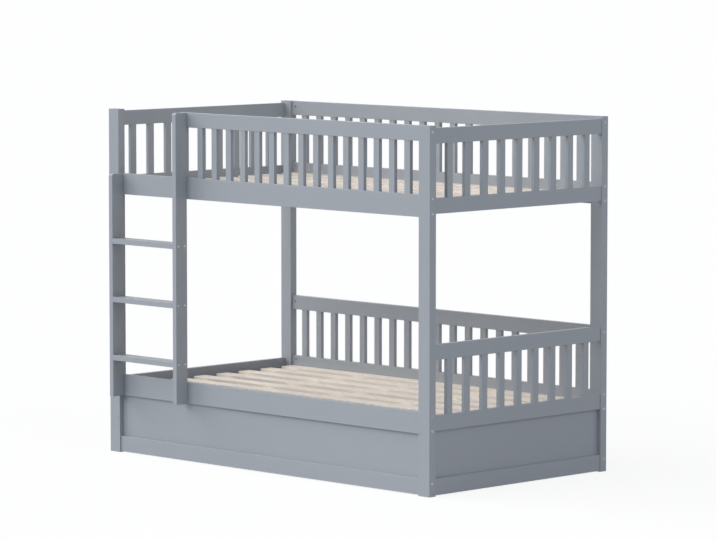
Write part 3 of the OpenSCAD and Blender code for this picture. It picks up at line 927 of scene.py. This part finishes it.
@dataclass(frozen=True)
class Edges:
    """How the sharp ends and rims of the boards are eased."""

    weld: float = 0.01 * MM
    flatness: float = math.radians(1.0)
    width: float = 0.7 * MM
    segments: int = 2
    least_angle: float = math.radians(50.0)

    def ease(self, piece: bpy.types.Object) -> None:
        """Closes a node's loose triangles, breaks its sharp edges and smooths its round ones.

        Args:
            piece: The node's object.
        """
        weld = piece.modifiers.new("weld", "WELD")
        weld.merge_threshold = self.weld
        flat = piece.modifiers.new("flat", "DECIMATE")
        flat.decimate_type = "DISSOLVE"
        flat.angle_limit = self.flatness
        bevel = piece.modifiers.new("ease", "BEVEL")
        bevel.width = self.width
        bevel.segments = self.segments
        bevel.limit_method = "ANGLE"
        bevel.angle_limit = self.least_angle
        bevel.miter_outer = "MITER_ARC"
        normals = piece.modifiers.new("normals", "WEIGHTED_NORMAL")
        normals.mode = "FACE_AREA"


def dress(node: str, material: bpy.types.Material) -> bpy.types.Object:
    """Gives a node of the construction its finish.

    Args:
        node: The node's name.
        material: The finish.

    Returns:
        The node's object.
    """
    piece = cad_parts[node]
    piece.data.materials.clear()
    piece.data.materials.append(material)
    log.info("%s: %s", node, material.name)
    return piece


@dataclass
class PaintedFrame:
    """Posts, rails, guards, ends, base and ladder: everything that is painted."""

    edges: Edges = field(default_factory=Edges)
    upright: tuple[str, ...] = ("post_", "_stile", "_spindles_", "ladder_leg_")
    across: tuple[str, ...] = ("_end_top_rail_", "_end_low_rail_", "base_board_left",
                               "base_board_right", "base_panel_left", "base_panel_right")
    along: tuple[str, ...] = ("_side_rail_", "_guard_rail_", "base_board_", "base_panel_",
                              "ladder_rung_")

    def grain_of(self, node: str) -> Grain | None:
        """Tells which way a painted node's fibres run.

        Args:
            node: The node's name.

        Returns:
            The grain, or None if the node isn't painted.
        """
        for grain, words in ((Grain.UPRIGHT, self.upright), (Grain.ACROSS, self.across),
                             (Grain.ALONG, self.along)):
            if any(word in node for word in words):
                return grain
        return None

    def build(self) -> None:
        """Paints every node, with the grain along its length."""
        coats = {grain: SatinPaint(grain).material() for grain in Grain}
        for node in sorted(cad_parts):
            grain = self.grain_of(node)
            if grain:
                self.edges.ease(dress(node, coats[grain]))


@dataclass
class SlatFrames:
    """The slats of both bunks, with the ledgers and bearers that carry them, in bare pine."""

    edges: Edges = field(default_factory=Edges)
    slat_count: int = 8
    slat_width: float = 70.0 * MM
    bearer_count: int = 5
    bearer_width: float = 60.0 * MM
    # Ledgers and blocks count as two rows, one in each half of the bed: their start and pitch.
    halves: tuple[float, float] = (-1.0, 1.0)

    def row(self, node: str, axis: int, count: int, width: float) -> tuple[float, float]:
        """Works out how the boards of a node follow each other.

        Args:
            node: The node's name.
            axis: The axis that they follow each other along.
            count: How many there are.
            width: How wide each of them is.

        Returns:
            Where the first one's share of the row starts, and the pitch.
        """
        low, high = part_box(node)
        pitch = (high[axis] - low[axis] - width) / (count - 1)
        return low[axis] + width / 2 - pitch / 2, pitch

    def build(self) -> None:
        """Dresses the slat frames, with the grain along each board."""
        slat_start, slat_pitch = self.row("lower_slats", 1, self.slat_count, self.slat_width)
        bearer_start, bearer_pitch = self.row("lower_cross_bearers", 0, self.bearer_count,
                                              self.bearer_width)
        slats = BarePine("slats", Grain.ALONG, slat_start, slat_pitch).material()
        bearers = BarePine("bearers", Grain.ACROSS, bearer_start, bearer_pitch).material()
        ledgers = BarePine("ledgers", Grain.ALONG, *self.halves).material()
        blocks = BarePine("blocks", Grain.UPRIGHT, *self.halves).material()
        for storey in ("lower", "upper"):
            self.edges.ease(dress(f"{storey}_slats", slats))
            self.edges.ease(dress(f"{storey}_cross_bearers", bearers))
            for side in ("front", "back"):
                self.edges.ease(dress(f"{storey}_ledger_{side}", ledgers))
        self.edges.ease(dress("corner_blocks", blocks))


# ---- The studio ----------------------------------------------------------------------------------


@dataclass(frozen=True)
class Lamp:
    """A large, far lamp: its strength, its turn to the left of the front, its rise and softness."""

    name: str
    strength: float
    turn: float
    rise: float
    spread: float = 40.0
    reach: float = 8.0

    def hang(self) -> None:
        """Hangs the lamp, with its light towards the bed."""
        light = bpy.data.lights.new(self.name, "SUN")
        light.energy = self.strength * math.pi
        light.angle = math.radians(self.spread)
        holder = bpy.data.objects.new(self.name, light)
        turn, rise = math.radians(self.turn), math.radians(self.rise)
        side = Vector((-math.sin(turn), -math.cos(turn), 0.0))
        place = side * math.cos(rise) + Vector((0.0, 0.0, math.sin(rise)))
        holder.location = place * self.reach
        holder.rotation_euler = (-place).to_track_quat("-Z", "Y").to_euler()
        bpy.context.scene.collection.objects.link(holder)


@dataclass
class Studio:
    """Pale floor, soft light and the camera."""

    floor_size: float = 300.0
    floor_bounce: Colour = (0.55, 0.55, 0.55)
    floor_share: float = 0.12
    sky: float = 0.36
    sky_tint: Colour = (0.9, 0.97, 1.13)
    lamps: tuple[Lamp, ...] = (
        Lamp("key", 0.38, 12.0, 30.0),
        Lamp("left", 0.58, 70.0, 32.0),
        Lamp("right", 0.18, -88.0, 32.0),
    )
    camera_place: Triple = (12.3013, -12.1500, 2.4376)
    camera_turn: float = 45.2226
    camera_dip: float = 5.2390
    lens: float = 197.675
    sensor: float = 36.0

    def build(self) -> None:
        """Sets the stage, the light and the camera."""
        self.lay_floor()
        self.light_world()
        for lamp in self.lamps:
            lamp.hang()
        self.set_camera()
        bpy.context.scene.view_settings.view_transform = "Standard"

    def lay_floor(self) -> None:
        """Lays a pale floor, which the camera sees as white but for the bed's soft shadow."""
        bm = bmesh.new()
        bmesh.ops.create_grid(bm, x_segments=1, y_segments=1, size=self.floor_size / 2)
        mesh = bpy.data.meshes.new("studio_floor")
        bm.to_mesh(mesh)
        bm.free()
        floor = bpy.data.objects.new("studio_floor", mesh)
        bpy.context.scene.collection.objects.link(floor)
        mesh.materials.append(self.floor_material())

    def floor_material(self) -> bpy.types.Material:
        """Makes the floor white to the camera and to mirrors, and grey to the light it returns.

        Returns:
            The material.
        """
        material, graph, _ = new_material("studio_floor")
        seen = self.seen_straight(graph)
        colour = graph.blend(seen, self.floor_bounce, WHITE)
        plain = graph.add("ShaderNodeBsdfDiffuse", {"Color": colour}).outputs[0]
        glow = graph.add("ShaderNodeEmission", {"Color": rgba(WHITE), "Strength": 1.0}).outputs[0]
        share = graph.math("MULTIPLY", seen, 1.0 - self.floor_share)
        surface = graph.add("ShaderNodeMixShader", {0: share, 1: plain, 2: glow}).outputs[0]
        graph.add("ShaderNodeOutputMaterial", {"Surface": surface})
        return material

    def seen_straight(self, graph: Graph) -> bpy.types.NodeSocket:
        """Tells the rays of the camera, of gloss and of glass from those that only carry light.

        Args:
            graph: The material's or the world's graph.

        Returns:
            1 for those rays, and 0 for the others.
        """
        rays = graph.add("ShaderNodeLightPath").outputs
        mirror = graph.math("MAXIMUM", rays["Is Glossy Ray"], rays["Is Transmission Ray"])
        return graph.math("MAXIMUM", rays["Is Camera Ray"], mirror)

    def light_world(self) -> None:
        """Fills the room with even light, and shows it as white."""
        world = bpy.data.worlds.new("studio")
        bpy.context.scene.world = world
        world.use_nodes = True
        world.node_tree.nodes.clear()
        graph = Graph(world.node_tree)
        seen = self.seen_straight(graph)
        strength = graph.math("MULTIPLY_ADD", seen, 1.0 - self.sky, self.sky)
        tint = graph.blend(seen, self.sky_tint, WHITE)
        sky = graph.add("ShaderNodeBackground", {"Color": tint, "Strength": strength})
        graph.add("ShaderNodeOutputWorld", {"Surface": sky.outputs[0]})

    def set_camera(self) -> None:
        """Stands the camera before the bed's right front corner, far off and a little above it."""
        camera = bpy.data.cameras.new("camera")
        camera.lens = self.lens
        camera.sensor_width = self.sensor
        camera.clip_end = self.floor_size * 2
        holder = bpy.data.objects.new("camera", camera)
        holder.location = self.camera_place
        tilt = math.radians(90.0 - self.camera_dip)
        holder.rotation_euler = (tilt, 0.0, math.radians(self.camera_turn))
        bpy.context.scene.collection.objects.link(holder)
        bpy.context.scene.camera = holder


def main() -> None:
    """Builds the bed and its studio."""
    logging.basicConfig(level=logging.INFO, format="%(name)s: %(message)s")
    PaintedFrame().build()
    SlatFrames().build()
    Hardware().build()
    Studio().build()


if __name__ == "__main__":
    main()
